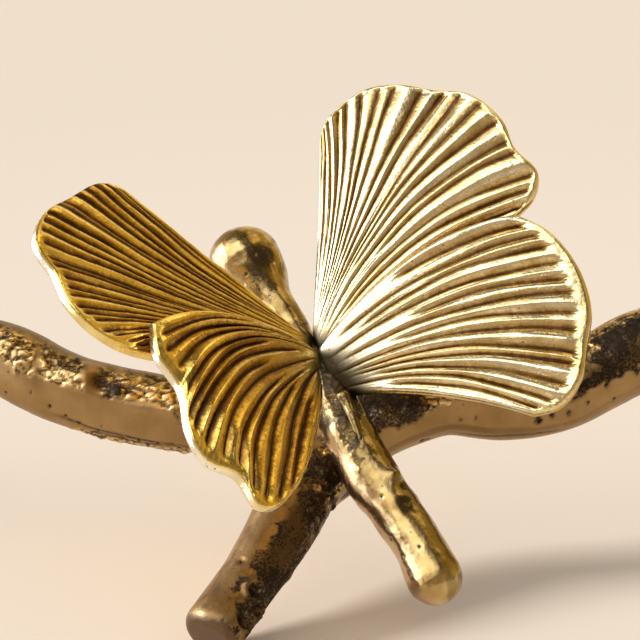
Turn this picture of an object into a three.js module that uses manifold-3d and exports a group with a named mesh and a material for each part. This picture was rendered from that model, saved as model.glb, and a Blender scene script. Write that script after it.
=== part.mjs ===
// A cast-brass ornament: two ginkgo leaves spread like a butterfly's wings on a twig, which lies
// across a forked branch that stands on three feet. Millimetres, +Z up, +X to the right. The origin
// is on the resting surface, under the middle of the object.
import * as THREE from 'three';
import { mergeVertices } from 'three/addons/utils/BufferGeometryUtils.js';
import Module from 'manifold-3d';

const wasm = await Module();
wasm.setup();

// ---- Driving dimensions -----------------------------------------------------------------------
const HEART = new THREE.Vector3(0, 6.7, 54);      // where the four lobes meet, over the twig
const GAP = 0.3;                                    // clearance between neighbouring pieces
const BLADE_THICKNESS = 2.2;                        // a lobe at its margin
const ROOT_THICKNESS = 3;                           // a lobe where it leaves the twig
const RIB_HEIGHT = 1;                               // crest to groove at the margin
const ROWS = 8;                                     // steps from a lobe's root to its margin
const SIDES = 14;                                   // flats round a limb or the twig
const STALK_SIDES = 8;

// The twig runs from its bud, up at the back, to its tip, down at the front.
const REARWARD = new THREE.Vector3(-0.45, 0.68, 0.58).normalize();
const RIGHT_WING = new THREE.Vector3(0.845, 0.113, 0.523);   // from the heart out along each wing
const LEFT_WING = new THREE.Vector3(-0.674, -0.684, 0.279);

// How a limb ends: [advance, radius] of each ring past the last centre, as shares of its radius.
const ROUNDED = { rings: [[0.42, 0.91], [0.77, 0.64], [0.96, 0.28]], reach: 1 };
const SAWN = { rings: [[0.2, 0.94], [0.36, 0.78]], reach: 0.36 };

// Limb centrelines, measured from the heart, each point [x, y, z, radius].
const MAIN_LIMB = [
  [129, 39, -57, 7], [126, 36, -45, 7.2], [120.5, 32, -30, 7.6], [110.5, 28, -16, 8.6],
  [96, 23.5, -8.6, 9.6], [78.5, 18.5, -8.8, 10], [58.5, 9.5, -15.8, 9], [43.5, 4.5, -16.5, 8.5],
  [29, 1.5, -14, 8.6],
  [12.5, -3, -19, 8.6], [4, -6.5, -25.5, 8.7], [-3.5, -14.5, -30.5, 8.9], [-11.5, -30.5, -38.5, 7.7],
  [-17.5, -40.5, -44, 7.5], [-22.5, -48.5, -48, 7.5],
];
const LEFT_LIMB = [
  [-129, 39, -57, 7], [-126, 36, -45, 7.2], [-120.5, 32, -30, 7.6], [-110.5, 28, -17, 8],
  [-95.5, 23, -9, 8.4],
  [-77.5, 17.5, -9.5, 8.9], [-63.5, 12.5, -15, 8.8], [-50, 9, -18, 8.8], [-36, 6, -19.5, 8.9],
  [-18.5, 2.5, -21, 8], [-6.5, -2, -23.5, 8], [0, -4, -25.5, 6],
];
const TWIG = [
  [-17.6, 24.5, 12.5, 8.7], [-14.5, 21, 9, 7.7], [-11.2, 16.5, 6, 5.4], [-7.8, 11.5, 3.5, 4],
  [-1.5, 2, -4, 4], [3.5, -5.5, -9.5, 4.8], [7.4, -12.5, -15.5, 5.7], [12, -20.5, -22, 5.7],
  [17.5, -27.5, -28, 5.6], [23, -34.5, -34.5, 5.9], [26.2, -39.5, -39.5, 6.4],
];
const STALK = [
  [6, -11, -7.3, 1.9], [7, -13, -8.8, 1.5], [8, -15.5, -10.4, 1.5], [9.4, -18.7, -13.4, 1.3],
  [10.8, -22, -16.4, 1.1],
];

// Lobes. Each point is [out along the wing, back along the twig, lift off the wing's plane]. The
// root, waist and margin run from a lobe's rear edge round to its front edge.
const LOBES = {
  right_rear_lobe: {
    wing: RIGHT_WING, ribs: 16,
    root: [[1.5, 6, 0], [1.5, 2.5, -0.5]],
    waist: [[16, 30, 0.5], [24, 25.5, 1.5], [32, 18, 1.2], [32, 4, -2.2]],
    margin: [[25.4, 46.6, 0], [28.6, 50, 0], [33.5, 51.8, 0], [41.5, 52, 0], [49, 47.5, 1],
      [55.5, 41.5, 0], [62, 35, 1], [65, 26, 0], [64, 18, -1], [65.5, 10.5, -3], [61.5, 5.5, -4],
      [55, 4, -5]],
  },
  right_front_lobe: {
    wing: RIGHT_WING, ribs: 15,
    root: [[1.5, 0, 1.5], [1, -8, 1], [2, -13, 0]],
    waist: [[31, 6, 3.5], [33, -8, 3], [28.5, -19.5, 2.5], [19.5, -27, 1.5]],
    margin: [[56, 1.5, 2], [60, -5.5, 2], [61.5, -13, 1], [61, -20.5, 0], [58.5, -28, 0],
      [53.5, -34.5, 0], [48.5, -41, 1], [41.5, -44, 1], [35, -42, 0]],
  },
  left_rear_lobe: {
    wing: LEFT_WING, ribs: 16,
    root: [[1.5, 4, 0], [3, 0.5, -1]],
    waist: [[19, 26, 0], [30.5, 17.5, -1], [37.5, 10, -2], [26.5, 3.5, -3]],
    margin: [[36.5, 48, 0], [42.5, 48.5, 0], [52, 44.5, -1], [63.5, 38.5, 0], [70.5, 30, 0],
      [68.5, 22, -1], [69, 14.5, -1], [66, 7.5, -1], [60, 3, -1], [48, 1.5, -3]],
  },
  left_front_lobe: {
    wing: LEFT_WING, ribs: 14,
    root: [[3.5, -1, 1.5], [3.5, -3.5, 1], [4, -7, 0]],
    waist: [[30, 6.5, 5], [32.5, -2.5, 5], [34, -18.5, 4], [12.5, -19.5, 1]],
    margin: [[50.5, 6.5, 2], [53, -1.5, 1], [50, -10.5, 0], [54.5, -21, 1], [52.5, -28.5, 0],
      [47, -33.5, 1], [45, -41, 0], [39, -41.5, 0], [29.5, -36.5, 0]],
  },
};

// ---- Materials ----------------------------------------------------------------------------------
const cast = (color, roughness) => new THREE.MeshStandardMaterial({ color, roughness, metalness: 1 });
const leafBrass = () => cast(0xc9a24a, 0.28);
const twigBrass = () => cast(0xa9833f, 0.3);
const branchBronze = () => cast(0x8a6a3c, 0.42);

// ---- Shape helpers ------------------------------------------------------------------------------
const spline = (points) => new THREE.CatmullRomCurve3(points, false, 'catmullrom', 0.5);
const fromHeart = ([x, y, z]) => new THREE.Vector3(x, y, z).add(HEART);

// A closed body through rings of equal length, with a point or a flat face at each end.
function skin(rings, firstMiddle, lastMiddle) {
  const sides = rings[0].length;
  const corners = [...rings.flat(), firstMiddle, lastMiddle].flatMap((p) => p.toArray());
  const first = rings.length * sides;
  const last = first + 1;
  const faces = [];
  for (let side = 0; side < sides; side++) {
    const next = (side + 1) % sides;
    faces.push(first, next, side);
    for (let ring = 0; ring < rings.length - 1; ring++) {
      const low = ring * sides;
      const high = low + sides;
      faces.push(low + side, low + next, high + next, low + side, high + next, high + side);
    }
    const top = (rings.length - 1) * sides;
    faces.push(last, top + side, top + next);
  }
  return body(corners, faces);
}

function body(corners, faces) {
  const geometry = new THREE.BufferGeometry();
  geometry.setAttribute('position', new THREE.Float32BufferAttribute(corners, 3));
  geometry.setIndex(faces);
  return geometry;
}

// A round limb along [x, y, z, radius] points, its radius grown by an allowance.
function limb(points, steps, sides, startEnd, tipEnd, allowance = 0) {
  const path = spline(points.map(fromHeart));
  const girth = spline(points.map((p) => new THREE.Vector3(p[3] + allowance, 0, 0)));
  const frames = path.computeFrenetFrames(steps);
  const ring = (step, advance, share) => {
    const radius = girth.getPoint(path.getUtoTmapping(step / steps)).x;
    const middle = path.getPointAt(step / steps).addScaledVector(frames.tangents[step], advance * radius);
    if (share === 0) return middle;
    return Array.from({ length: sides }, (_, side) => {
      const angle = (2 * Math.PI * side) / sides;
      return middle.clone()
        .addScaledVector(frames.normals[step], radius * share * Math.cos(angle))
        .addScaledVector(frames.binormals[step], radius * share * Math.sin(angle));
    });
  };
  const rings = [
    ...startEnd.rings.map(([advance, share]) => ring(0, -advance, share)).reverse(),
    ...Array.from({ length: steps + 1 }, (_, step) => ring(step, 0, 1)),
    ...tipEnd.rings.map(([advance, share]) => ring(steps, advance, share)),
  ];
  return skin(rings, ring(0, -startEnd.reach, 0), ring(steps, tipEnd.reach, 0));
}

// A ribbed plate: ribs fan from the root to the margin, and the underside follows the top.
function blade({ wing, ribs, root, waist, margin }, allowance = 0) {
  const out = wing.clone().addScaledVector(REARWARD, -wing.dot(REARWARD)).normalize();
  const up = out.clone().cross(REARWARD).normalize();
  const leftHanded = up.z < 0;
  if (leftHanded) up.negate();
  const place = (p) => HEART.clone().addScaledVector(out, p.x).addScaledVector(REARWARD, p.y)
    .addScaledVector(up, p.z);
  const [inner, middle, outer] = [root, waist, margin].map((outline) => spline(
    outline.map((p) => new THREE.Vector3(...p))));
  const columns = 2 * ribs;
  const rings = [];
  for (let row = 0; row <= ROWS; row++) {
    const reach = row / ROWS;
    const thickness = THREE.MathUtils.lerp(ROOT_THICKNESS, BLADE_THICKNESS, reach);
    const top = [];
    for (let column = 0; column <= columns; column++) {
      const turn = column / columns;
      const [a, b, c] = [inner, middle, outer].map((curve) => curve.getPoint(turn));
      const bend = b.multiplyScalar(2).addScaledVector(a, -0.5).addScaledVector(c, -0.5);
      const point = new THREE.QuadraticBezierCurve3(a, bend, c).getPoint(reach);
      point.z += (column % 2 ? 0.5 : -0.5) * RIB_HEIGHT * (0.3 + 0.7 * reach) + allowance;
      top.push(point);
    }
    const under = top.map((p) => new THREE.Vector3(p.x, p.y, p.z - thickness - 2 * allowance));
    rings.push([...top, ...under.reverse()].map(place));
  }
  return plate(rings, columns + 1, leftHanded);
}

// Joins rings of top and underside points into one closed plate, with strips at the two ends.
function plate(rings, width, flip) {
  const loop = 2 * width;
  const corners = rings.flat().flatMap((p) => p.toArray());
  const faces = [];
  const quad = (a, b, c, d) => faces.push(a, b, c, a, c, d);
  rings.slice(1).forEach((_, row) => {
    for (let k = 0; k < loop; k++) {
      const next = (k + 1) % loop;
      quad(row * loop + k, row * loop + next, (row + 1) * loop + next, (row + 1) * loop + k);
    }
  });
  const end = (rings.length - 1) * loop;
  for (let k = 0; k < width - 1; k++) {
    const across = loop - 1 - k;
    quad(k, across, across - 1, k + 1);
    quad(end + k, end + k + 1, end + across - 1, end + across);
  }
  if (flip) faces.reverse();
  return body(corners, faces);
}

// ---- Joining and cutting ------------------------------------------------------------------------
function solid(geometry) {
  const merged = mergeVertices(geometry);
  return new wasm.Manifold(new wasm.Mesh({
    numProp: 3,
    vertProperties: new Float32Array(merged.attributes.position.array),
    triVerts: new Uint32Array(merged.index.array),
  }));
}

function piece(name, shape, material) {
  const { vertProperties, triVerts } = shape.getMesh();
  const mesh = new THREE.Mesh(body(Array.from(vertProperties), Array.from(triVerts)), material);
  mesh.name = name;
  return mesh;
}

// ---- The pieces ---------------------------------------------------------------------------------
const twig = (allowance) => solid(limb(TWIG, 18, SIDES, ROUNDED, ROUNDED, allowance));

function branch() {
  const underfoot = new THREE.BoxGeometry(400, 300, 40).translate(0, 0, -20);
  underfoot.deleteAttribute('normal');
  underfoot.deleteAttribute('uv');
  return solid(limb(MAIN_LIMB, 36, SIDES, SAWN, SAWN))
    .add(solid(limb(LEFT_LIMB, 24, SIDES, SAWN, ROUNDED)))
    .subtract(twig(GAP))
    .subtract(solid(underfoot));
}

const ornament = new THREE.Group();
ornament.add(piece('branch', branch(), branchBronze()));
ornament.add(piece('twig', twig(0), twigBrass()));
ornament.add(piece('leaf_stalk', solid(limb(STALK, 8, STALK_SIDES, ROUNDED, ROUNDED)).subtract(twig(GAP)),
  twigBrass()));
for (const [name, lobe] of Object.entries(LOBES)) {
  ornament.add(piece(name, solid(blade(lobe)).subtract(twig(GAP)), leafBrass()));
}

export default ornament;
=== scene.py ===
import math

import bpy
import numpy as np
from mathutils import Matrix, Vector


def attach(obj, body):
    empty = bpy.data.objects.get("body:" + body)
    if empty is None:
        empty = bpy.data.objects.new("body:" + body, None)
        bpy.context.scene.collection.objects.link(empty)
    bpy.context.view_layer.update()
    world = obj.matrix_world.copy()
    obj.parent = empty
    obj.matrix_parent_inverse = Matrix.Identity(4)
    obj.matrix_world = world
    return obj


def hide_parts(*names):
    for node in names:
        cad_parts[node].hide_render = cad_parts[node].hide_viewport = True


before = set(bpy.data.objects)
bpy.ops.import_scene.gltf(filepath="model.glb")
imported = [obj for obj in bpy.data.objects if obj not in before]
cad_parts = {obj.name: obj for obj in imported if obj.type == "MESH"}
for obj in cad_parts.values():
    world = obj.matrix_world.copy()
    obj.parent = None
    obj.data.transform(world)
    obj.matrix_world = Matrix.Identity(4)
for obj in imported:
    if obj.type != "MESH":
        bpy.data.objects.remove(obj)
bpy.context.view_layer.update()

MM = 0.001

# ---- The design's places ----
# The limbs and the lobes' outlines are those of the part's source, but for two lobes' roots, which
# reach a little further forward here.
HEART = np.array([0, 6.7, 54]) * MM  # where the four lobes meet, over the twig
REARWARD = np.array([-0.45, 0.68, 0.58])
RIGHT_WING = np.array([0.845, 0.113, 0.523])
LEFT_WING = np.array([-0.674, -0.684, 0.279])
BLADE_THICKNESS = 2.2  # millimetres, at the margin
ROOT_THICKNESS = 3.0
CAMERA_TILT = math.radians(22)
TOWARD_VIEWER = np.array([0, -1.0, 0.4])
CAMERA_DISTANCE = 0.520
FRAME_WIDTH = 0.1504  # how much the picture spans at the camera's distance

# Limb centrelines from the heart, in millimetres, each point (x, y, z, radius).
MAIN_LIMB = [
    (129, 39, -57, 7), (126, 36, -45, 7.2), (120.5, 32, -30, 7.6), (110.5, 28, -16, 8.6),
    (96, 23.5, -8.6, 9.6), (78.5, 18.5, -8.8, 10), (58.5, 9.5, -15.8, 9), (43.5, 4.5, -16.5, 8.5),
    (29, 1.5, -14, 8.6), (12.5, -3, -19, 8.6), (4, -6.5, -25.5, 8.7), (-3.5, -14.5, -30.5, 8.9),
    (-11.5, -30.5, -38.5, 7.7), (-17.5, -40.5, -44, 7.5), (-22.5, -48.5, -48, 7.5),
]
LEFT_LIMB = [
    (-129, 39, -57, 7), (-126, 36, -45, 7.2), (-120.5, 32, -30, 7.6), (-110.5, 28, -17, 8),
    (-95.5, 23, -9, 8.4), (-77.5, 17.5, -9.5, 8.9), (-63.5, 12.5, -15, 8.8), (-50, 9, -18, 8.8),
    (-36, 6, -19.5, 8.9), (-18.5, 2.5, -21, 8), (-6.5, -2, -23.5, 8), (0, -4, -25.5, 6),
]
TWIG = [
    (-17.6, 24.5, 12.5, 8.7), (-14.5, 21, 9, 7.7), (-11.2, 16.5, 6, 5.4), (-7.8, 11.5, 3.5, 4),
    (-1.5, 2, -4, 4), (3.5, -5.5, -9.5, 4.8), (7.4, -12.5, -15.5, 5.7), (12, -20.5, -22, 5.7),
    (17.5, -27.5, -28, 5.6), (23, -34.5, -34.5, 5.9), (26.2, -39.5, -39.5, 6.4),
]
STALK = [
    (6, -11, -7.3, 1.9), (7, -13, -8.8, 1.5), (8, -15.5, -10.4, 1.5), (9.4, -18.7, -13.4, 1.3),
    (10.8, -22, -16.4, 1.1),
]

# Lobes. "turn" runs from 0 at a lobe's rear edge to 1 at its front edge, "reach" from 0 at its root
# to 1 at its margin. Root, waist and margin are rows of points along the turn, each (out along the
# wing, back along the twig, lift off its plane) in millimetres.
#   ribs, gather      how many ribs, and how strongly they crowd towards the rear edge
#   relief            height of a rib as a share of its width
#   roll, curl        how far the margin rolls down, and more of it: (amount, turn, spread)
#   blunt             how square the edge is, 2 being round
#   painted_white_light  painted light: 1 for a lobe coloured as lit white (cream), 0 for golden
#   band              (turn, millimetres) of smooth margin beyond the ribs
#   painted_rim_highlight  (turn, strength) of the painted highlight along the rim
#   shade             (turn, millimetres) that the painted shade at the root reaches
LOBES = {
    "right_rear_lobe": dict(
        wing=RIGHT_WING, ribs=19, seed=3, gather=1.18, roll=0.2, relief=0.36, blunt=2.2, painted_white_light=1,
        band=[(0, 1.0), (0.8, 1.2), (1, 2.5)],
        painted_rim_highlight=[(0, 0.4), (1, 0.9)],
        shade=[(0, 5), (0.6, 5), (1, 9)],
        curl=(0, 0.5, 0.1),
        root=[(1.5, 6, 0), (1.5, -0.5, -0.8)],
        waist=[(16, 30, 0.5), (24, 25.5, 1.5), (32, 18, 1.2), (32, 4, -2.2)],
        margin=[(25.4, 46.6, 0), (28.6, 50, 0), (33.5, 51.8, 0), (41.5, 52, 0), (49, 47.5, 1),
                (55.5, 41.5, 0), (62, 35, 1), (65, 26, 0), (64, 18, -1), (65.5, 10.5, -3),
                (61.5, 5.5, -4), (55, 4, -5)]),
    "right_front_lobe": dict(
        wing=RIGHT_WING, ribs=14, seed=8, gather=1.0, roll=0.5, relief=0.36, blunt=2.2, painted_white_light=1,
        band=[(0, 2.6), (0.35, 3.4), (0.6, 2.6), (1, 1.6)],
        painted_rim_highlight=[(0, 0.9), (1, 0.9)],
        shade=[(0, 2), (0.12, 3), (0.3, 13), (0.8, 16), (1, 10)],
        curl=(0, 0.5, 0.1),
        root=[(1.5, 0, 1.5), (1, -8, 1), (2, -14.5, -0.3)],
        waist=[(31, 6, 3.5), (33, -8, 3), (28.5, -19.5, 2.5), (19.5, -27, 1.5)],
        margin=[(56, 1.5, 2), (60, -5.5, 2), (61.5, -13, 1), (61, -20.5, 0), (58.5, -28, 0),
                (53.5, -34.5, 0), (48.5, -41, 1), (41.5, -44, 1), (35, -42, 0)]),
    "left_rear_lobe": dict(
        wing=LEFT_WING, ribs=25, seed=5, gather=1.0, roll=0.4, relief=0.30, blunt=3.2, painted_white_light=0,
        band=[(0, 0.05), (0.3, 0.1), (0.45, 1.6), (1, 3.2)],
        painted_rim_highlight=[(0, 0.15), (0.25, 0.3), (0.32, 1), (0.55, 1), (0.68, 0.25), (1, 0.1)],
        shade=[(0, 6), (1, 6)],
        curl=(2.5, 0.97, 0.12),
        root=[(1.5, 4, 0), (3, 0.5, -1)],
        waist=[(19, 26, 0), (30.5, 17.5, -1), (37.5, 10, -2), (26.5, 3.5, -3)],
        margin=[(36.5, 48, 0), (42.5, 48.5, 0), (52, 44.5, -1), (63.5, 38.5, 0), (70.5, 30, 0),
                (68.5, 22, -1), (69, 14.5, -1), (66, 7.5, -1), (60, 3, -1), (48, 1.5, -3)]),
    "left_front_lobe": dict(
        wing=LEFT_WING, ribs=14, seed=12, gather=1.0, roll=0.5, relief=0.42, blunt=3.2, painted_white_light=0,
        band=[(0, 2.6), (0.4, 3.2), (0.6, 4.5), (0.8, 2.6), (1, 2.0)],
        painted_rim_highlight=[(0, 0.5), (0.1, 1), (0.5, 1), (0.7, 0.6), (1, 0.5)],
        shade=[(0, 5), (0.6, 4), (1, 4)],
        curl=(2.2, 0.5, 0.2),
        root=[(3.5, -1, 1.5), (3.5, -3.5, 1), (4, -7, 0)],
        waist=[(30, 6.5, 5), (32.5, -2.5, 5), (34, -18.5, 4), (12.5, -19.5, 1)],
        margin=[(50.5, 6.5, 2), (53, -1.5, 1), (50, -10.5, 0), (54.5, -21, 1), (52.5, -28.5, 0),
                (47, -33.5, 1), (45, -41, 0), (39, -41.5, 0), (29.5, -36.5, 0)]),
}


# ---- Curves and noise ----
def unit(v):
    return v / np.linalg.norm(v, axis=-1, keepdims=True)


def spline(points, at):
    """Catmull-Rom through the points, at parameters from 0 to 1."""
    points = np.asarray(points, float)
    last = len(points) - 1
    padded = np.vstack([2 * points[0] - points[1], points, 2 * points[-1] - points[-2]])
    place = np.clip(at, 0, 1) * last
    start = np.minimum(place.astype(int), last - 1)
    w = (place - start)[..., None]
    p0, p1, p2, p3 = (padded[start + k] for k in range(4))
    t1, t2 = 0.5 * (p2 - p0), 0.5 * (p3 - p1)
    return (2 * p1 - 2 * p2 + t1 + t2) * w**3 + (3 * p2 - 3 * p1 - 2 * t1 - t2) * w**2 + t1 * w + p1


def smoothstep(low, high, value):
    """0 at the first value, 1 at the second, smooth between (the first may be the larger)."""
    x = np.clip((value - low) / (high - low), 0, 1)
    return x * x * (3 - 2 * x)


def along_turn(pairs, turn):
    """A lobe's value at each turn, from its (turn, value) pairs."""
    return np.interp(turn, *zip(*pairs))


CELL_PRIMES = (73856093, 19349663, 83492791)
SCRAMBLE = 1274126177
POSITIVE = 0x7FFFFFFF
DRAWS = 65536


def cell_key(cells):
    """A whole number for each cell, from its three whole coordinates."""
    x, y, z = (cells[..., k] * prime for k, prime in enumerate(CELL_PRIMES))
    return x ^ y ^ z


def draw(key):
    """The key that follows each key, and a value from 0 to 1 drawn with it."""
    key = (key ^ (key >> 13)) * SCRAMBLE & POSITIVE
    return key, (key ^ (key >> 16)) % DRAWS / (DRAWS - 1)


def lattice_noise(places, cell, seed=0):
    """Smooth noise from -1 to 1 at an array of places, with the given cell size."""
    p = np.asarray(places) / cell + 1000.0 + 37.0 * seed
    base = np.floor(p).astype(np.int64)
    w = p - base
    w = w * w * (3 - 2 * w)
    total = 0.0
    for corner in np.ndindex(2, 2, 2):
        value = 2 * draw(cell_key(base + np.array(corner)))[1] - 1
        total = total + value * np.prod(np.where(np.array(corner) == 1, w, 1 - w), axis=-1)
    return total


def layered_noise(places, *layers):
    """A sum of smooth noises, each layer (height, cell size, seed)."""
    return sum(height * lattice_noise(places, cell, seed) for height, cell, seed in layers)


def chipped(places, cell, seed):
    """Heights of small tilted flats, one to a cell, and the cracks between them (0 to 1)."""
    p = places / cell + 500.0
    base = np.floor(p).astype(np.int64)
    nearest, second = np.full(len(p), 9.0), np.full(len(p), 9.0)
    height = np.zeros(len(p))
    for corner in np.ndindex(3, 3, 3):
        at = base + np.array(corner) - 1
        key = cell_key(at) ^ (seed * 2654435)
        values = []
        for _ in range(6):
            key, value = draw(key)
            values.append(value)
        away = p - (at + np.stack(values[:3], 1))
        gap = np.linalg.norm(away, axis=1)
        tilt = np.stack(values[3:], 1) - 0.5
        closer = gap < nearest
        second = np.where(closer, nearest, np.minimum(second, gap))
        facet = values[5] - 0.5 + 1.6 * np.einsum("ij,ij->i", away, tilt)
        height = np.where(closer, facet, height)
        nearest = np.where(closer, gap, nearest)
    return height, smoothstep(0.22, 0.0, second - nearest)


# ---- Working with objects ----
def deselect():
    if bpy.context.object and bpy.context.object.mode != "OBJECT":
        bpy.ops.object.mode_set(mode="OBJECT")
    bpy.ops.object.select_all(action="DESELECT")


def pick(*objects):
    deselect()
    for o in objects:
        o.select_set(True)
    bpy.context.view_layer.objects.active = objects[0]


def per_vertex(mesh, name):
    """An array of three numbers for each vertex: "co" for places, "normal" for normals."""
    values = np.zeros(len(mesh.vertices) * 3, np.float32)
    mesh.vertices.foreach_get(name, values)
    return values.reshape(-1, 3).astype(float)


def move_points(mesh, places):
    mesh.vertices.foreach_set("co", np.asarray(places, np.float32).ravel())
    mesh.update()


def store(mesh, name, values):
    layer = mesh.attributes.new(name, "FLOAT", "POINT")
    layer.data.foreach_set("value", np.asarray(values, np.float32).ravel())


def apply(piece, kind, **settings):
    """Adds one modifier, sets it and applies it."""
    pick(piece)
    modifier = piece.modifiers.new(kind.lower(), kind)
    for key, value in settings.items():
        setattr(modifier, key, value)
    bpy.ops.object.modifier_apply(modifier=modifier.name)


def neighbour_mean(mesh, values):
    """For each vertex, the mean of its neighbours' rows."""
    edges = np.zeros(len(mesh.edges) * 2, np.int32)
    mesh.edges.foreach_get("vertices", edges)
    a, b = edges.reshape(-1, 2).T
    count = np.bincount(np.r_[a, b], minlength=len(values))
    total = np.stack([np.bincount(np.r_[a, b], np.r_[column[b], column[a]], minlength=len(values))
                      for column in values.T], 1)
    return total / np.maximum(count, 1)[:, None]


CREST_HEIGHT = 0.05 * MM
CREST_SMOOTHINGS = 8


def store_crests(mesh):
    """Stores how far each point stands out from its smoothed surroundings: 0.5 is level."""
    places = per_vertex(mesh, "co")
    soft = places
    for _ in range(CREST_SMOOTHINGS):
        soft = 0.5 * soft + 0.5 * neighbour_mean(mesh, soft)
    out = np.einsum("ij,ij->i", places - soft, per_vertex(mesh, "normal"))
    store(mesh, "crest", np.clip(0.5 + 0.5 * out / CREST_HEIGHT, 0, 1))


# ---- The lobes ----
COLUMNS, ROWS = 290, 144  # the grid's steps along the turn and along the reach
SIDE_STEPS, ROOT_STEPS, TIP_STEPS = 9, 5, 16
SIDE_ZONE, ROOT_ZONE, TIP_ZONE = 0.02, 0.02, 0.05
WELD = 0.002 * MM

# Rib shapes. Widths are shares of the space between two grooves.
FIRST_START, EARLY_STARTS, LATE_STARTS = 0.01, (0.03, 0.1), (0.06, 0.36)  # of the reach
GROOVE_ROUNDNESS = 0.62
GROOVE_SWAYS = [(0.13, 4.2, 5), (0.04, 17, 9)]  # share, waves along the reach, shift for each sway
GROOVE_ONSET = 0.12  # of the reach, from nothing to full depth
CREVICE_WIDTH = 0.12
CREVICE_SOFTNESS = 0.05
RIB_HEIGHTS = (0.16, 1.5)  # lowest and highest rib, in millimetres
SWELL = 0.16  # uneven height of neighbouring ribs, as a share


def lobe_point(lobe, turn, reach):
    """The smooth middle of a lobe, in the wing's own directions, in millimetres."""
    root, waist, margin = (spline(lobe[k], turn) for k in ("root", "waist", "margin"))
    t = reach[..., None]
    return root * (1 - t) * (1 - 2 * t) + waist * 4 * t * (1 - t) + margin * t * (2 * t - 1)


def rib_pattern(lobe):
    """Each groove's place across the lobe, where it starts, how it sways, its depth and width."""
    rng = np.random.default_rng(lobe["seed"])
    count = lobe["ribs"]
    grooves = []
    for k in range(1, count):
        place = ((k + rng.uniform(-0.15, 0.15)) / count) ** lobe["gather"]
        start = FIRST_START
        if k % 2 == 1:
            start = rng.uniform(*LATE_STARTS)
        elif k % 4 == 2:
            start = rng.uniform(*EARLY_STARTS)
        sway, depth, width = (rng.uniform(*span) for span in ((-1, 1), (0.85, 1.15), (0.52, 0.7)))
        grooves.append((place, start, sway, depth, width))
    return grooves


def rib_relief(lobe, turn, reach, across, left):
    """Height of the ribs below their crests in millimetres, and two shades from 0 to 1.

    The shades are how deep a place lies, and how near it is to a groove's bottom. "across" is the
    lobe's width at each place and "left" the distance that is left to the margin.
    """
    ribs, gather = lobe["ribs"], lobe["gather"]
    band = along_turn(lobe["band"], turn)
    spacing = across / ribs * gather * np.maximum(turn, 0.04) ** (1 - 1 / gather)
    cut, crevice = np.zeros_like(turn), np.zeros_like(turn)
    for place, start, sway, depth, width in rib_pattern(lobe):
        wander = sum(share * np.sin(reach * waves + shift * sway) for share, waves, shift in GROOVE_SWAYS)
        distance = np.abs(turn - place - wander / ribs * smoothstep(0, 0.4, reach)) * across
        strength = smoothstep(start, start + GROOVE_ONSET, reach + 0.01)
        strength *= smoothstep(0.45 * band, 1.5 * band, left + 0.3 * band * sway)
        strength *= 0.92 + 0.08 * np.sin(reach * 9 + 20 * sway)
        fall = np.clip(distance / (width * spacing), 0, 1)
        flank = (1 - np.sqrt(1 - (1 - fall) ** 2)) ** GROOVE_ROUNDNESS
        cut = np.maximum(cut, strength * depth * flank)
        bottom = np.exp(-(distance / (CREVICE_WIDTH * spacing + CREVICE_SOFTNESS)) ** 2)
        crevice = np.maximum(crevice, strength * bottom)
    inner = smoothstep(0.0, 0.6, np.minimum(turn, 1 - turn) * ribs)
    swell = SWELL * np.sin(turn * ribs * 2.1 + lobe["seed"]) * smoothstep(0.2, 0.6, reach)
    height = np.clip(lobe["relief"] * spacing, *RIB_HEIGHTS)
    drop = height * (swell * smoothstep(0, 2 * band, left) - cut * inner)
    return drop, np.clip(cut * inner, 0, 1), crevice * inner


def tool_strokes(lobe, turn, reach, groove):
    """Fine strokes along the ribs and chatter across their flanks, in millimetres."""
    along = np.stack([turn * 95, reach * 7, 0 * turn + lobe["seed"]], -1)
    across = np.stack([turn * lobe["ribs"] * 1.6, reach * 55, 0 * turn + lobe["seed"] + 40], -1)
    strokes = 0.045 * lattice_noise(along, 1.0, 51) * smoothstep(0.05, 0.3, reach)
    return strokes + 0.05 * lattice_noise(across, 1.0, 52) * smoothstep(0.15, 0.6, groove)


def edge_profile(distance, radius, blunt):
    """From 0 at the very edge to 1 at the given radius: a round edge at 2, squarer above."""
    return (1 - (1 - np.clip(distance / radius, 0, 1)) ** blunt) ** (1 / blunt)


def spread(count, low_edge, high_edge, low_steps, high_steps):
    """Grid parameters from 0 to 1, closely spaced inside the two edge zones."""
    low = low_edge * (1 - np.cos(np.linspace(0, math.pi / 2, low_steps + 1)))[:-1]
    high = 1 - high_edge * (1 - np.cos(np.linspace(math.pi / 2, 0, high_steps + 1)))[1:]
    return np.r_[low, np.linspace(low_edge, 1 - high_edge, count + 1 - low_steps - high_steps), high]


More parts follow.
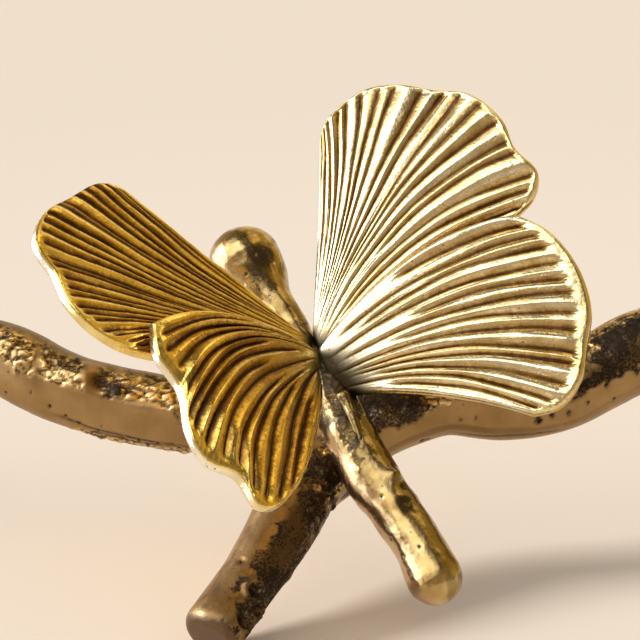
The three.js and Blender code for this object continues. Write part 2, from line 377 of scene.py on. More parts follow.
def lobe_faces(lobe):
    """Places of the top and the underside over the grid, with the shades that colour them."""
    turns = spread(COLUMNS, SIDE_ZONE, SIDE_ZONE, SIDE_STEPS, SIDE_STEPS)
    reaches = spread(ROWS, ROOT_ZONE, TIP_ZONE, ROOT_STEPS, TIP_STEPS)
    turn, reach = np.meshgrid(turns, reaches)
    middle = lobe_point(lobe, turn, 1.03 * reach - 0.03)
    across = np.linalg.norm(np.diff(middle, axis=1), axis=-1).sum(1)[:, None] * np.ones_like(turn)
    length = np.linalg.norm(np.diff(middle, axis=0), axis=-1).sum(0)[None, :] * np.ones_like(turn)
    done, left = reach * length, (1 - reach) * length
    drop, groove, crevice = rib_relief(lobe, turn, reach, across, left)
    strokes = tool_strokes(lobe, turn, reach, groove)

    half = 0.5 * (ROOT_THICKNESS + (BLADE_THICKNESS - ROOT_THICKNESS) * reach)
    side = np.minimum(turn, 1 - turn) * across
    edge = edge_profile(left, half, lobe["blunt"]) * edge_profile(side, half, lobe["blunt"])
    edge *= edge_profile(done, half, 2)

    band = along_turn(lobe["band"], turn)
    amount, curl_turn, curl_spread = lobe["curl"]
    curled = 1 + amount * np.exp(-((turn - curl_turn) / curl_spread) ** 2)
    roll = lobe["roll"] * curled * smoothstep(2.2 * np.maximum(band, 1.2) * np.sqrt(curled), 0, left)
    waves = layered_noise(middle, (0.2, 13, lobe["seed"]), (0.06, 2.5, lobe["seed"]))
    core = middle[..., 2] - half + waves - roll
    top, under = middle.copy(), middle.copy()
    top[..., 2] = core + (half + drop + strokes + 0.3) * edge
    under[..., 2] = core - (half - 0.3 * drop) * edge

    shades = {
        # grooves and crevices darken with patina and painted shade
        "groove": np.clip(groove + 3 * strokes, 0, 1),
        "crevice": crevice,
        "rim": smoothstep(1.5 * band, 0.4 * band, left),
        # painted highlight along the rim
        "painted_rim_highlight": smoothstep(0.85, 0.45, edge) * along_turn(lobe["painted_rim_highlight"], turn),
        # painted shade where the lobe meets the twig
        "root": smoothstep(1.0, 0.15, done / along_turn(lobe["shade"], turn)),
        # painted light: which lobes are coloured as lit by white light
        "painted_white_light": np.full_like(turn, lobe["painted_white_light"]),
    }
    return top, under, shades


def place_in_wing(wing, local):
    """Places in metres, from points along the wing's own three directions."""
    back = unit(REARWARD)
    out = unit(wing - back * (wing @ back))
    up = np.cross(out, back)
    up = up if up[2] > 0 else -up
    return HEART + MM * (local[..., :1] * out + local[..., 1:2] * back + local[..., 2:] * up)


def grid_sheet(name, lobe, local, shades):
    """A flat grid, with each point lifted to its place on the lobe and its shades stored."""
    deselect()
    bpy.ops.mesh.primitive_grid_add(x_subdivisions=COLUMNS, y_subdivisions=ROWS, size=1)
    sheet = bpy.context.object
    sheet.name = sheet.data.name = name
    flat = per_vertex(sheet.data, "co")
    column = np.rint((flat[:, 0] + 0.5) * COLUMNS).astype(int)
    row = np.rint((flat[:, 1] + 0.5) * ROWS).astype(int)
    move_points(sheet.data, place_in_wing(lobe["wing"], local[row, column]))
    for shade, values in shades.items():
        store(sheet.data, shade, values[row, column])
    return sheet


def make_lobe(name, lobe, finish):
    """One lobe: its top and its underside as two sheets, welded all round."""
    top, under, shades = lobe_faces(lobe)
    sheet = grid_sheet(name + "_cast", lobe, top, shades)
    below = grid_sheet(name + "_under", lobe, under, dict(shades, crevice=0 * shades["crevice"]))
    pick(sheet, below)
    bpy.ops.object.join()
    bpy.ops.object.mode_set(mode="EDIT")
    bpy.ops.mesh.select_all(action="SELECT")
    bpy.ops.mesh.remove_doubles(threshold=WELD)
    bpy.ops.mesh.normals_make_consistent(inside=False)
    bpy.ops.object.mode_set(mode="OBJECT")
    bpy.ops.object.shade_smooth()
    sheet.data.materials.append(finish)
    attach(sheet, "root")
    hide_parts(name)


# ---- Limbs ----
# A limb's end: rings as (distance past the last place, radius), both as shares of its radius there.
ROUNDED = [(0.25, 0.968), (0.5, 0.866), (0.7, 0.714), (0.85, 0.527), (0.95, 0.312), (0.99, 0.14)]
SAWN = [(0.1, 0.985), (0.2, 0.94), (0.3, 0.86), (0.36, 0.78)]
LINE_SAMPLES, BATCH = 1200, 4000
RING_SPACING = 1.2 * MM
STOP_SPACING = 0.8 * MM
STALK_SPACING = 0.5 * MM
BRANCH_VOXEL, TWIG_VOXEL, STALK_VOXEL = 0.57 * MM, 0.4 * MM, 0.2 * MM
SKIN_SMOOTHINGS = 3
STALK_SHIFT = (0.3, -0.5)  # back and up: it lies a little way into the twig
STALK_TAPER = 0.4


def limb_line(points, spacing):
    """Evenly spaced places and radii along a limb, in metres."""
    fine = spline(points, np.linspace(0, 1, LINE_SAMPLES))
    travelled = np.r_[0, np.cumsum(np.linalg.norm(np.diff(fine[:, :3], axis=0), axis=1))]
    count = max(int(travelled[-1] * MM / spacing), 4)
    even = np.linspace(0, travelled[-1], count + 1)
    line = np.stack([np.interp(even, travelled, fine[:, k]) for k in range(4)], 1) * MM
    line[:, :3] += HEART
    return line


def end_rings(line, end, before, rings):
    """Places and radii of the rings beyond one end of a line."""
    way = unit(line[end, :3] - line[before, :3])
    reach = line[end, 3]
    return [np.r_[line[end, :3] + way * away * reach, reach * share] for away, share in rings]


def limb_tube(name, points, start_rings, tip_rings, spacing=RING_SPACING):
    """A round limb: a path drawn through its places, given its girth, and made a mesh."""
    line = limb_line(points, spacing)
    head = end_rings(line, 0, 1, start_rings)
    tail = end_rings(line, -1, -2, tip_rings)
    stops = np.array(head[::-1] + list(line) + tail)
    curve = bpy.data.curves.new(name, "CURVE")
    curve.dimensions = "3D"
    curve.bevel_depth = 1.0
    curve.bevel_resolution = 10
    curve.use_fill_caps = True
    path = curve.splines.new("POLY")
    path.points.add(len(stops) - 1)
    for point, stop in zip(path.points, stops):
        point.co = (*stop[:3], 1)
        point.radius = stop[3]
    drawn = bpy.data.objects.new(name, curve)
    bpy.context.scene.collection.objects.link(drawn)
    pick(drawn)
    bpy.ops.object.convert(target="MESH")
    return bpy.context.object


def fuse(tubes, voxel):
    """Joins closed tubes into one skin and softens it."""
    pick(*tubes)
    if len(tubes) > 1:
        bpy.ops.object.join()
    piece = bpy.context.object
    apply(piece, "REMESH", mode="VOXEL", voxel_size=voxel, adaptivity=0)
    apply(piece, "SMOOTH", factor=0.5, iterations=SKIN_SMOOTHINGS)
    return piece


class Limb:
    """A limb's line, with a height and a front direction round it at each stop.

    Angles round a limb are in degrees: 0 faces the front, 90 its upper side, -90 its lower side.
    """

    def __init__(self, points):
        line = limb_line(points, STOP_SPACING)
        self.line, self.radius = line[:, :3], line[:, 3]
        along = unit(np.gradient(self.line, axis=0))
        upper = np.array([0, math.sin(CAMERA_TILT), math.cos(CAMERA_TILT)])
        self.upper = unit(upper - along * (along @ upper)[:, None])
        front = np.cross(along, self.upper)
        self.front = front * np.sign(front @ TOWARD_VIEWER)[:, None]

    def measure(self, places):
        """Nearest stop, distance from the line and angle round it, for each place."""
        nearest = np.zeros(len(places), int)
        for chunk in np.array_split(np.arange(len(places)), max(len(places) // BATCH, 1)):
            gap = np.linalg.norm(places[chunk, None] - self.line[None], axis=-1)
            nearest[chunk] = gap.argmin(1)
        offset = places - self.line[nearest]
        high = np.einsum("ij,ij->i", offset, self.upper[nearest])
        near = np.einsum("ij,ij->i", offset, self.front[nearest])
        return nearest, np.hypot(high, near), np.degrees(np.arctan2(high, near))

    def outward(self, stop, angle):
        """The way out from the line at a stop, at an angle round it."""
        turn = math.radians(angle)
        return self.upper[stop] * math.sin(turn) + self.front[stop] * math.cos(turn)

    def spot(self, x, angle):
        """A place on the limb's skin, x millimetres right of the heart, at an angle round it."""
        stop = np.abs(self.line[:, 0] - HEART[0] - x * MM).argmin()
        return self.line[stop] + self.outward(stop, angle) * self.radius[stop]


def in_patch(x, angle, patch, wobble, soft=1.2):
    """1 inside a patch (from x, to x, from angle, to angle), with a wandering border."""
    x0, x1, low, high = patch
    inside = 1
    for depth in ((x - x0) / soft, (x1 - x) / soft, (angle - low) / 9, (high - angle) / 9):
        inside = inside * smoothstep(-0.5, 0.5, depth + wobble)
    return inside


def add_marks(limb, places, marks):
    """Bumps, pits and ringed knots: (x, angle, size, height, ring) each, in millimetres."""
    out, dark = np.zeros(len(places)), np.zeros(len(places))
    for x, angle, size, height, ring in marks:
        gap = np.linalg.norm(places - limb.spot(x, angle), axis=1) / (size * MM)
        out += height * np.exp(-gap ** 2)
        if ring:
            out += ring * np.exp(-((gap - 1.5) / 0.45) ** 2)
        if height < 0:
            dark = np.maximum(dark, smoothstep(1.25, 0.6, gap))
    return out, dark


def finish_limb(piece, finish, node):
    pick(piece)
    bpy.ops.object.shade_smooth()
    store_crests(piece.data)
    piece.data.materials.append(finish)
    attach(piece, "root")
    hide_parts(node)


# Bumps and pits: x from the heart, angle round the limb, size, height, height of a ring round it.
TWIG_MARKS = [
    (-17, -10, 6, 0.5, 0), (-15.5, 60, 4, -0.35, 0), (-12, 0, 3, 0.3, 0), (5.5, -65, 3.2, 1.0, 0),
    (8.5, -60, 3.4, 0.9, 0), (7.5, 10, 3.0, 0.5, 0), (12.5, -85, 3.6, -0.35, 0), (14.8, 80, 1.7, 1.3, 0),
    (16.6, 84, 1.3, -0.4, 0), (19, -80, 3, -0.3, 0), (16.5, 20, 0.42, -0.3, 0), (21, -20, 0.35, -0.25, 0),
    (24.5, -50, 0.6, -0.3, 0), (23.5, 35, 0.5, -0.25, 0), (-14, 20, 0.4, -0.25, 0),
    (-16.5, 45, 0.6, -0.3, 0), (18.5, 60, 2.6, -0.35, 0), (22, 75, 3, 0.3, 0), (8, -85, 3.5, 0.7, 0),
    (13, -85, 7, 1.6, 0), (18.5, -85, 4, 0.8, 0),
]
# Patches, each (from x, to x, from angle, to angle): a rough spine over the crossing, dark with patina
# and painted shade, and a flank painted dark as shade under the left front lobe, whose x is measured
# along the twig's line.
TWIG_SPINE = (-3, 10, 18, 100)
TWIG_LOBE_SHADE = (-4, 7.4, -120, 60)
# Dark patches of patina on the bud, and of painted shade under the lobes and along the upper side: a
# patch, its strength, how far its border wanders and how soft it is.
TWIG_PATINA_AND_SHADE = [
    (-18.5, -13, 22, 58, 0.85, 1.0, 2.0), (-14, -8, 0, 75, 0.6, 1.0, 3.0), (-8, 15, 5, 120, 0.7, 1.5, 5.0),
    (-3, 32, 62, 130, 0.55, 1.0, 3.0),
]
# How dark the stalk is painted all over: shade under the lobes.
STALK_PAINTED_SHADE = 0.8


def make_twig(finish):
    twig = fuse([limb_tube("twig_cast", TWIG, ROUNDED, ROUNDED)], TWIG_VOXEL)
    places, normals = per_vertex(twig.data, "co"), per_vertex(twig.data, "normal")
    from_heart = (places - HEART) / MM
    limb = Limb(TWIG)
    nearest, _, angle = limb.measure(places)
    x, line_x = from_heart[:, 0], (limb.line[nearest, 0] - HEART[0]) / MM
    wobble = lattice_noise(from_heart, 1.8, 24)
    spine = in_patch(x, angle, TWIG_SPINE, wobble, 2.0)
    flank = in_patch(line_x, angle, TWIG_LOBE_SHADE, wobble, 2.0)
    lumps = layered_noise(from_heart, (0.3, 6, 21), (0.14, 2.6, 22), (0.04, 0.9, 23))
    rough = spine * layered_noise(from_heart, (0.22, 1.2, 25), (0.1, 0.6, 26))
    marks, pits = add_marks(limb, places, TWIG_MARKS)
    move_points(twig.data, places + normals * MM * (lumps + marks + rough)[:, None])
    # Patina and painted shade: the spine, the shade painted on the flank under the lobe, and the pits.
    patina_and_shade = np.maximum.reduce([spine, flank, pits])
    for *patch, strength, wander, soft in TWIG_PATINA_AND_SHADE:
        patina_and_shade = np.maximum(patina_and_shade, strength * in_patch(x, angle, patch, wander * wobble, soft))
    store(twig.data, "patina_and_shade", patina_and_shade)
    # Painted reflection: the upper side is tinted golden and the lower side coppery.
    store(twig.data, "gold_side_reflection", smoothstep(-35, 30, angle + 12 * wobble))
    finish_limb(twig, finish, "twig")


def make_stalk(finish):
    back, up = STALK_SHIFT
    tapered = [(x, y + back, z + up, radius * (1 - STALK_TAPER * (k / (len(STALK) - 1)) ** 2))
               for k, (x, y, z, radius) in enumerate(STALK)]
    stalk = fuse([limb_tube("leaf_stalk_cast", tapered, ROUNDED, ROUNDED, STALK_SPACING)], STALK_VOXEL)
    # Painted shade over the whole stalk, which lies under the lobes.
    store(stalk.data, "patina_and_shade", np.full(len(stalk.data.vertices), STALK_PAINTED_SHADE))
    # The stalk takes the upper side's painted golden reflection all over.
    store(stalk.data, "gold_side_reflection", np.ones(len(stalk.data.vertices)))
    finish_limb(stalk, finish, "leaf_stalk")


# The branch's two limbs. Flats are satin faces: from x, to x, the angle that the face looks to, its
# distance from the line as a share of the radius. Bark is rough and hammered; the dark patches are
# patina and painted shade: from x, to x, from angle, to angle, and for them a strength. Seams are dark
# lines: from x, to x, from angle, to angle, width, depth. Marks are as on the twig.
MAIN_SURFACE = dict(
    flats=[(12, 84, -20, 0.94), (-19, 6, -52, 0.86)],
    bark=[(9, 32, -8, 95), (62, 84, 34, 90), (-3, 8, -20, 60), (104, 128, -60, 60)],
    patina_and_shade=[(-1, 27, -6, 120, 1), (-19, 6, -42, 62, 0.97), (62, 84, -8, 62, 1), (-24, -19, -34, 4, 0.9),
          (-30, 6, -70, 110, 0.55)],
    seams=[(30, 62, -66, -56, 0.4, 0.2), (-14, 2, -14, -10, 0.5, 0.3)],
    marks=[
        (21.5, -66, 0.9, -0.5, 0), (23, -68, 0.6, -0.4, 0), (32, -35, 0.6, -0.3, 0),
        (36, -28, 0.5, -0.25, 0), (39, 12, 0.7, -0.4, 0), (50, -30, 1.2, -0.4, 0),
        (53, -24, 0.9, -0.4, 0), (57, -28, 0.8, -0.35, 0), (61, -22, 0.6, -0.3, 0),
        (66, -10, 0.8, -0.4, 0), (72, 0, 0.8, -0.4, 0), (-17.5, 26, 1.6, -1.3, 0.8),
        (-19, -2, 1.4, -1.2, 0.7), (-21, 12, 1.9, -1.5, 0.5), (-20.5, -22, 0.9, -0.6, 0.2),
        (-23, 30, 2.4, 0.6, 0), (-10, -60, 0.35, -0.3, 0), (-6, -66, 0.4, -0.3, 0),
        (-15, 78, 0.7, -0.5, 0), (-13, -35, 1.6, 0.4, 0), (2, -55, 3, 0.4, 0),
    ])
LEFT_SURFACE = dict(
    flats=[(-66, -15, -19, 0.88)],
    bark=[(-84, -67.5, 4, 60), (-67, -55.5, 10, 62), (-52, -16, 14, 66), (-60, -28, -90, -62),
          (-126, -104, -60, 60)],
    patina_and_shade=[(-67, -59, 34, 64, 0.8), (-54, -48, 16, 60, 1), (-30, -2, 0, 100, 1), (-130, -30, 60, 120, 0.6)],
    seams=[(-66, -30, -42, -60, 0.45, 0.35), (-56, -34, -56, -66, 0.5, 0.35),
           (-40, -22, -50, -58, 0.4, 0.3)],
    marks=[
        (-56, 36, 4.2, 1.3, 0), (-51.5, 34, 2.4, -0.9, 0), (-63, 58, 0.8, -0.5, 0.1),
        (-71, -45, 0.5, -0.35, 0), (-62, -32, 0.6, -0.4, 0), (-58, -40, 0.5, -0.35, 0),
        (-55, -48, 0.7, -0.45, 0), (-50, -56, 0.6, -0.4, 0), (-45, -60, 0.8, -0.5, 0),
        (-41, -58, 0.6, -0.4, 0), (-36, -60, 0.8, -0.5, 0), (-32, -62, 0.7, -0.5, 0),
        (-74, -30, 0.4, -0.3, 0), (-66, -20, 0.4, -0.3, 0),
    ])
CHIP_STRETCH = [1, 1.25, 1.3]


def make_branch(finish):
    branch = fuse([limb_tube("branch_cast", MAIN_LIMB, SAWN, SAWN),
                   limb_tube("left_limb", LEFT_LIMB, SAWN, ROUNDED)], BRANCH_VOXEL)
    places, normals = per_vertex(branch.data, "co"), per_vertex(branch.data, "normal")
    from_heart = (places - HEART) / MM
    x = from_heart[:, 0]
    main, left = Limb(MAIN_LIMB), Limb(LEFT_LIMB)
    main_stop, main_distance, main_angle = main.measure(places)
    left_stop, left_distance, left_angle = left.measure(places)
    on_left = main_distance / main.radius[main_stop] > left_distance / left.radius[left_stop]
    on_left = (on_left | (x < -30)) & (x < 0)
    wobble = layered_noise(from_heart, (1.1, 2.4, 34), (0.6, 1.1, 37))
    gentle = lattice_noise(from_heart, 9, 38)
    flattened = places.copy()
    bark, patina_and_shade, lift = np.zeros((3, len(x)))
    for limb, surface, mine, stop, angle in (
            (main, MAIN_SURFACE, ~on_left, main_stop, main_angle),
            (left, LEFT_SURFACE, on_left, left_stop, left_angle)):
        for x0, x1, facing, share in surface["flats"]:
            way = limb.outward(stop, facing)
            inside = smoothstep(-3, 3, x - x0) * smoothstep(-3, 3, x1 - x)
            reach = np.einsum("ij,ij->i", places - limb.line[stop], way)
            beyond = np.maximum(reach - share * limb.radius[stop] * (1 + 0.03 * gentle), 0)
            flattened -= way * (beyond * inside * mine)[:, None]
        for patch in surface["bark"]:
            bark = np.maximum(bark, mine * in_patch(x, angle, patch, wobble))
        # Dark patches: patina and painted shade.
        for *patch, strength in surface["patina_and_shade"]:
            patina_and_shade = np.maximum(patina_and_shade, strength * mine * in_patch(x, angle, patch, 1.6 * wobble, 4.5))
        for x0, x1, angle0, angle1, width, depth in surface["seams"]:
            aim = np.interp(x, [x0, x1], [angle0, angle1]) + 7 * gentle
            gap = np.radians(angle - aim) * limb.radius[stop] / MM
            line = np.exp(-(gap / width) ** 2) * smoothstep(x0, x0 + 6, x) * smoothstep(x1, x1 - 6, x) * mine
            lift -= depth * line
            patina_and_shade = np.maximum(patina_and_shade, 0.95 * line)
        out, dark = add_marks(limb, places, surface["marks"])
        lift += out * mine
        patina_and_shade = np.maximum(patina_and_shade, dark * mine)
    facets, cracks = chipped(from_heart * CHIP_STRETCH, 2.9, 5)
    fine_facets, fine_cracks = chipped(from_heart, 1.4, 9)
    hammered = 0.12 + 0.50 * facets - 0.22 * cracks + 0.16 * fine_facets - 0.08 * fine_cracks
    lift += layered_noise(from_heart, (0.35, 15, 31), (0.10, 5, 32)) + bark * hammered
    places = flattened + normals * MM * lift[:, None]
    places[:, 2] = np.maximum(places[:, 2], 0)
    move_points(branch.data, places)
    store(branch.data, "bark", bark)
    store(branch.data, "patina_and_shade", np.clip(patina_and_shade, 0, 1))
    tip, toward_tip = main.line[-1], unit(main.line[-1] - main.line[-4])
    store(branch.data, "sawn", smoothstep(0.8, 1.8, (places - tip) @ toward_tip / MM))
    finish_limb(branch, finish, "branch")


# ---- Finishes ----
class Graph:
    """A tree of shader nodes, with a short way to add each kind that is used here.

    A value may be a number, a colour (red, green, blue) or another node's output.
    """

    def __init__(self, tree):
        self.nodes, self.links = tree.nodes, tree.links

    def add(self, kind, **settings):
        node = self.nodes.new(kind)
        for key, value in settings.items():
            setattr(node, key, value)
        return node

    def feed(self, socket, value):
        if isinstance(value, tuple):
            socket.default_value = (*value, 1)
        elif isinstance(value, (int, float)):
            socket.default_value = value
        else:
            self.links.new(value, socket)

    def math(self, operation, first, second):
        node = self.add("ShaderNodeMath", operation=operation)
        self.feed(node.inputs[0], first)
        self.feed(node.inputs[1], second)
        return node.outputs["Value"]

    def plus(self, first, second):
        return self.math("ADD", first, second)

    def minus(self, first, second):
        return self.math("SUBTRACT", first, second)

    def times(self, first, second):
        return self.math("MULTIPLY", first, second)

    def larger(self, first, second):
        return self.math("MAXIMUM", first, second)

    def place(self):
        return self.add("ShaderNodeTexCoord").outputs["Object"]

    def attribute(self, name):
        return self.add("ShaderNodeAttribute", attribute_name=name).outputs["Fac"]

    def noise(self, place, scale, detail):
        node = self.add("ShaderNodeTexNoise")
        self.feed(node.inputs["Vector"], place)
        self.feed(node.inputs["Scale"], scale)
        self.feed(node.inputs["Detail"], detail)
        return node.outputs["Fac"]

    def ramp(self, value, stops):
        """A colour for each value, from stops of (place, colour)."""
        node = self.add("ShaderNodeValToRGB")
        elements = node.color_ramp.elements
        while len(elements) < len(stops):
            elements.new(0.5)
        for element, (place, colour) in zip(elements, stops):
            element.position = place
            element.color = (*colour, 1)
        self.links.new(value, node.inputs["Fac"])
        return node.outputs["Color"]

    def mix(self, factor, first, second, blend="MIX"):
        """The first colour at 0, the second (or the blend of both) at 1."""
        node = self.add("ShaderNodeMix", data_type="RGBA", blend_type=blend)
        self.feed(node.inputs["Factor"], factor)
        self.feed(node.inputs[6], first)
        self.feed(node.inputs[7], second)
        return node.outputs[2]

    def rise(self, value, start, end, kind="SMOOTHSTEP"):
        """0 up to the start, 1 from the end (the start may be the larger)."""
        node = self.add("ShaderNodeMapRange", interpolation_type=kind)
        self.feed(node.inputs["Value"], value)
        self.feed(node.inputs["From Min"], start)
        self.feed(node.inputs["From Max"], end)
        return node.outputs["Result"]

    def use(self, group, **inputs):
        """Places a node group, with its own values or links."""
        node = self.add("ShaderNodeGroup", node_tree=group)
        for label, value in inputs.items():
            self.feed(node.inputs[label.replace("_", " ")], value)
        return node.outputs

    def bump(self, shader, *layers):
        """Stacks bump layers (height, distance in metres) into the shader's normal."""
        normal = None
        for height, distance in layers:
            node = self.add("ShaderNodeBump")
            node.inputs["Strength"].default_value = 1.0
            node.inputs["Distance"].default_value = distance
            self.links.new(height, node.inputs["Height"])
            if normal:
                self.links.new(normal, node.inputs["Normal"])
            normal = node.outputs["Normal"]
        self.links.new(normal, shader.inputs["Normal"])


def new_finish(name):
    finish = bpy.data.materials.new(name)
    finish.use_nodes = True
    return finish, Graph(finish.node_tree), finish.node_tree.nodes["Principled BSDF"]


def new_metal(name):
    finish, graph, shader = new_finish(name)
    shader.inputs["Metallic"].default_value = 1.0
    return finish, graph, shader


def new_group(name, inputs, outputs):
    """A shader node group with named number inputs and outputs."""
    group = bpy.data.node_groups.new(name, "ShaderNodeTree")
    for label, value in inputs.items():
        socket = group.interface.new_socket(label, in_out="INPUT", socket_type="NodeSocketFloat")
        socket.default_value = value
    for label in outputs:
        group.interface.new_socket(label, in_out="OUTPUT", socket_type="NodeSocketFloat")
    graph = Graph(group)
    return group, graph, graph.add("NodeGroupInput").outputs, graph.add("NodeGroupOutput").inputs


def make_cast_group():
    """Sand-cast skin: fine grain, broad blotches and sparse pits, each from 0 to 1."""
    group, graph, given, out = new_group(
        "cast skin", {"Grain Scale": 2600.0, "Blotch Scale": 160.0, "Pit Scale": 420.0},
        ["Grain", "Blotches", "Pits"])
    place = graph.place()
    blotches = graph.noise(place, given["Blotch Scale"], 5)
    cells = graph.add("ShaderNodeTexVoronoi")
    graph.feed(cells.inputs["Vector"], place)
    graph.feed(cells.inputs["Scale"], given["Pit Scale"])
    small = graph.rise(cells.outputs["Distance"], 0.20, 0.08, "LINEAR")
    some = graph.rise(blotches, 0.52, 0.62, "LINEAR")
    graph.feed(out["Grain"], graph.noise(place, given["Grain Scale"], 4))
    graph.feed(out["Blotches"], blotches)
    graph.feed(out["Pits"], graph.times(small, some))
    return group


def make_patina_group():
    """How dark the patina is, from 0 to 1, from the hollows and the skin's own variation."""
    group, graph, given, out = new_group(
        "patina", {"Hollow": 0.0, "Blotches": 0.5, "Grain": 0.5, "Spread": 0.5, "Raggedness": 0.5}, ["Mask"])
    variation = graph.plus(graph.minus(given["Blotches"], 0.5), graph.minus(given["Grain"], 0.5))
    depth = graph.plus(given["Hollow"], graph.times(given["Raggedness"], variation))
    start, end = graph.minus(1.0, given["Spread"]), graph.minus(1.3, given["Spread"])
    graph.feed(out["Mask"], graph.rise(depth, start, end))
    return group


def make_brushed_group():
    """Fine parallel marks left by a brush or a file, from 0 to 1."""
    group, graph, given, out = new_group("brushed marks", {"Scale": 900.0, "Stretch": 0.06}, ["Marks"])
    squeeze = graph.add("ShaderNodeCombineXYZ")
    for axis, share in (("X", 1.0), ("Y", 0.5), ("Z", given["Stretch"])):
        graph.feed(squeeze.inputs[axis], share)
    drawn = graph.add("ShaderNodeVectorMath", operation="MULTIPLY")
    graph.feed(drawn.inputs[0], graph.place())
    graph.feed(drawn.inputs[1], squeeze.outputs["Vector"])
    graph.feed(out["Marks"], graph.noise(drawn.outputs["Vector"], given["Scale"], 4))
    return group


# Metal colours, as stops of (place, colour). On the leaves the place is the depth in the grooves (patina
# and painted shade), on the limbs it is a blotch's value, and on polished bark how far a point stands out.
GOLDEN_REFLECTION_LEAF = [
    (0.0, (1.0, 0.76, 0.25)), (0.14, (0.88, 0.58, 0.13)), (0.32, (0.50, 0.29, 0.055)),
    (0.62, (0.20, 0.105, 0.025)), (0.88, (0.06, 0.03, 0.012))]
WHITE_LIGHT_LEAF = [
    (0.0, (0.95, 0.86, 0.64)), (0.20, (0.90, 0.73, 0.42)), (0.50, (0.64, 0.43, 0.14)),
    (0.78, (0.28, 0.155, 0.04)), (0.97, (0.10, 0.05, 0.02))]
LEAF_BLOTCHES = [(0.3, (0.80, 0.76, 0.66)), (0.62, (1.0, 1.0, 1.0))]
# Twig colours with a painted reflection: coppery on the lower side, golden on the upper side.
TWIG_LOWER_SIDE_REFLECTION = [(0.32, (0.42, 0.265, 0.135)), (0.66, (0.64, 0.455, 0.27))]
TWIG_UPPER_SIDE_REFLECTION = [(0.32, (0.38, 0.255, 0.085)), (0.66, (0.62, 0.45, 0.20))]
SATIN_BRONZE = [(0.3, (0.28, 0.17, 0.065)), (0.7, (0.40, 0.255, 0.11))]
POLISHED_BRONZE = [(0.5, (0.22, 0.135, 0.055)), (0.9, (0.66, 0.46, 0.20))]
# Colours on the golden lobes (painted golden reflection), then on the cream ones (painted white light).
LEAF_BANDS = (0.92, 0.70, 0.20), (0.86, 0.70, 0.30)
# Painted highlight along the rims: near white on the golden lobes, a golden line on the cream ones.
LEAF_RIM_HIGHLIGHTS = (0.98, 0.92, 0.78), (0.72, 0.52, 0.16)
# Dark colours: patina, pits and the sawn end, and painted shade at the lobes' roots, in the grooves and
# under the lobes.
LEAF_CREVICE, LEAF_ROOT_SHADE, LEAF_PIT = (0.075, 0.035, 0.02), (0.022, 0.013, 0.004), (0.1, 0.06, 0.03)
TWIG_PATINA_AND_SHADE_COLOUR, TWIG_PATINA, TWIG_PIT = (0.12, 0.075, 0.022), (0.07, 0.05, 0.03), (0.06, 0.04, 0.03)
BRONZE_PATINA_AND_SHADE_COLOUR, BRONZE_PATINA = (0.10, 0.062, 0.03), (0.038, 0.027, 0.02)
BRONZE_PIT, SAWN_END = (0.05, 0.035, 0.025), (0.16, 0.10, 0.058)


def make_leaf_finish(groups):
    finish, graph, shader = new_metal("leaf brass, patina and painted shade in the grooves")
    skin = graph.use(groups["cast"], Grain_Scale=2400.0, Blotch_Scale=210.0, Pit_Scale=700.0)
    groove, crevice, rim, painted_rim_highlight, root, painted_white_light = map(graph.attribute, (
        "groove", "crevice", "rim", "painted_rim_highlight", "root", "painted_white_light"))
    chatter = graph.noise(graph.place(), 1300.0, 2)
    # The grooves darken: patina, deepened with painted shade.
    tone = graph.plus(groove, graph.times(graph.minus(chatter, 0.5), 0.45))

    # Painted light: cream where a lobe is painted as lit white, golden where it mirrors golden light.
    colour = graph.mix(painted_white_light, graph.ramp(tone, GOLDEN_REFLECTION_LEAF), graph.ramp(tone, WHITE_LIGHT_LEAF))
    colour = graph.mix(graph.times(rim, 0.7), colour, graph.mix(painted_white_light, *LEAF_BANDS))
    # Painted highlight along the rim.
    colour = graph.mix(painted_rim_highlight, colour, graph.mix(painted_white_light, *LEAF_RIM_HIGHLIGHTS))
    # Patina and painted shade along the bottoms of the grooves.
    colour = graph.mix(graph.times(crevice, 0.92), colour, LEAF_CREVICE)
    # Painted shade at the root, where the lobe meets the twig.
    colour = graph.mix(graph.times(root, 0.985), colour, LEAF_ROOT_SHADE)
    colour = graph.mix(1.0, colour, graph.ramp(skin["Blotches"], LEAF_BLOTCHES), "MULTIPLY")
    colour = graph.mix(skin["Pits"], colour, LEAF_PIT)
    graph.feed(shader.inputs["Base Color"], colour)

    rough = graph.plus(graph.times(tone, 0.22), graph.times(skin["Grain"], 0.16))
    rough = graph.plus(rough, graph.times(root, 0.4))
    graph.feed(shader.inputs["Roughness"], graph.plus(rough, 0.10))
    graph.bump(shader, (skin["Blotches"], 0.06 * MM), (chatter, 0.07 * MM), (skin["Grain"], 0.02 * MM))
    return finish


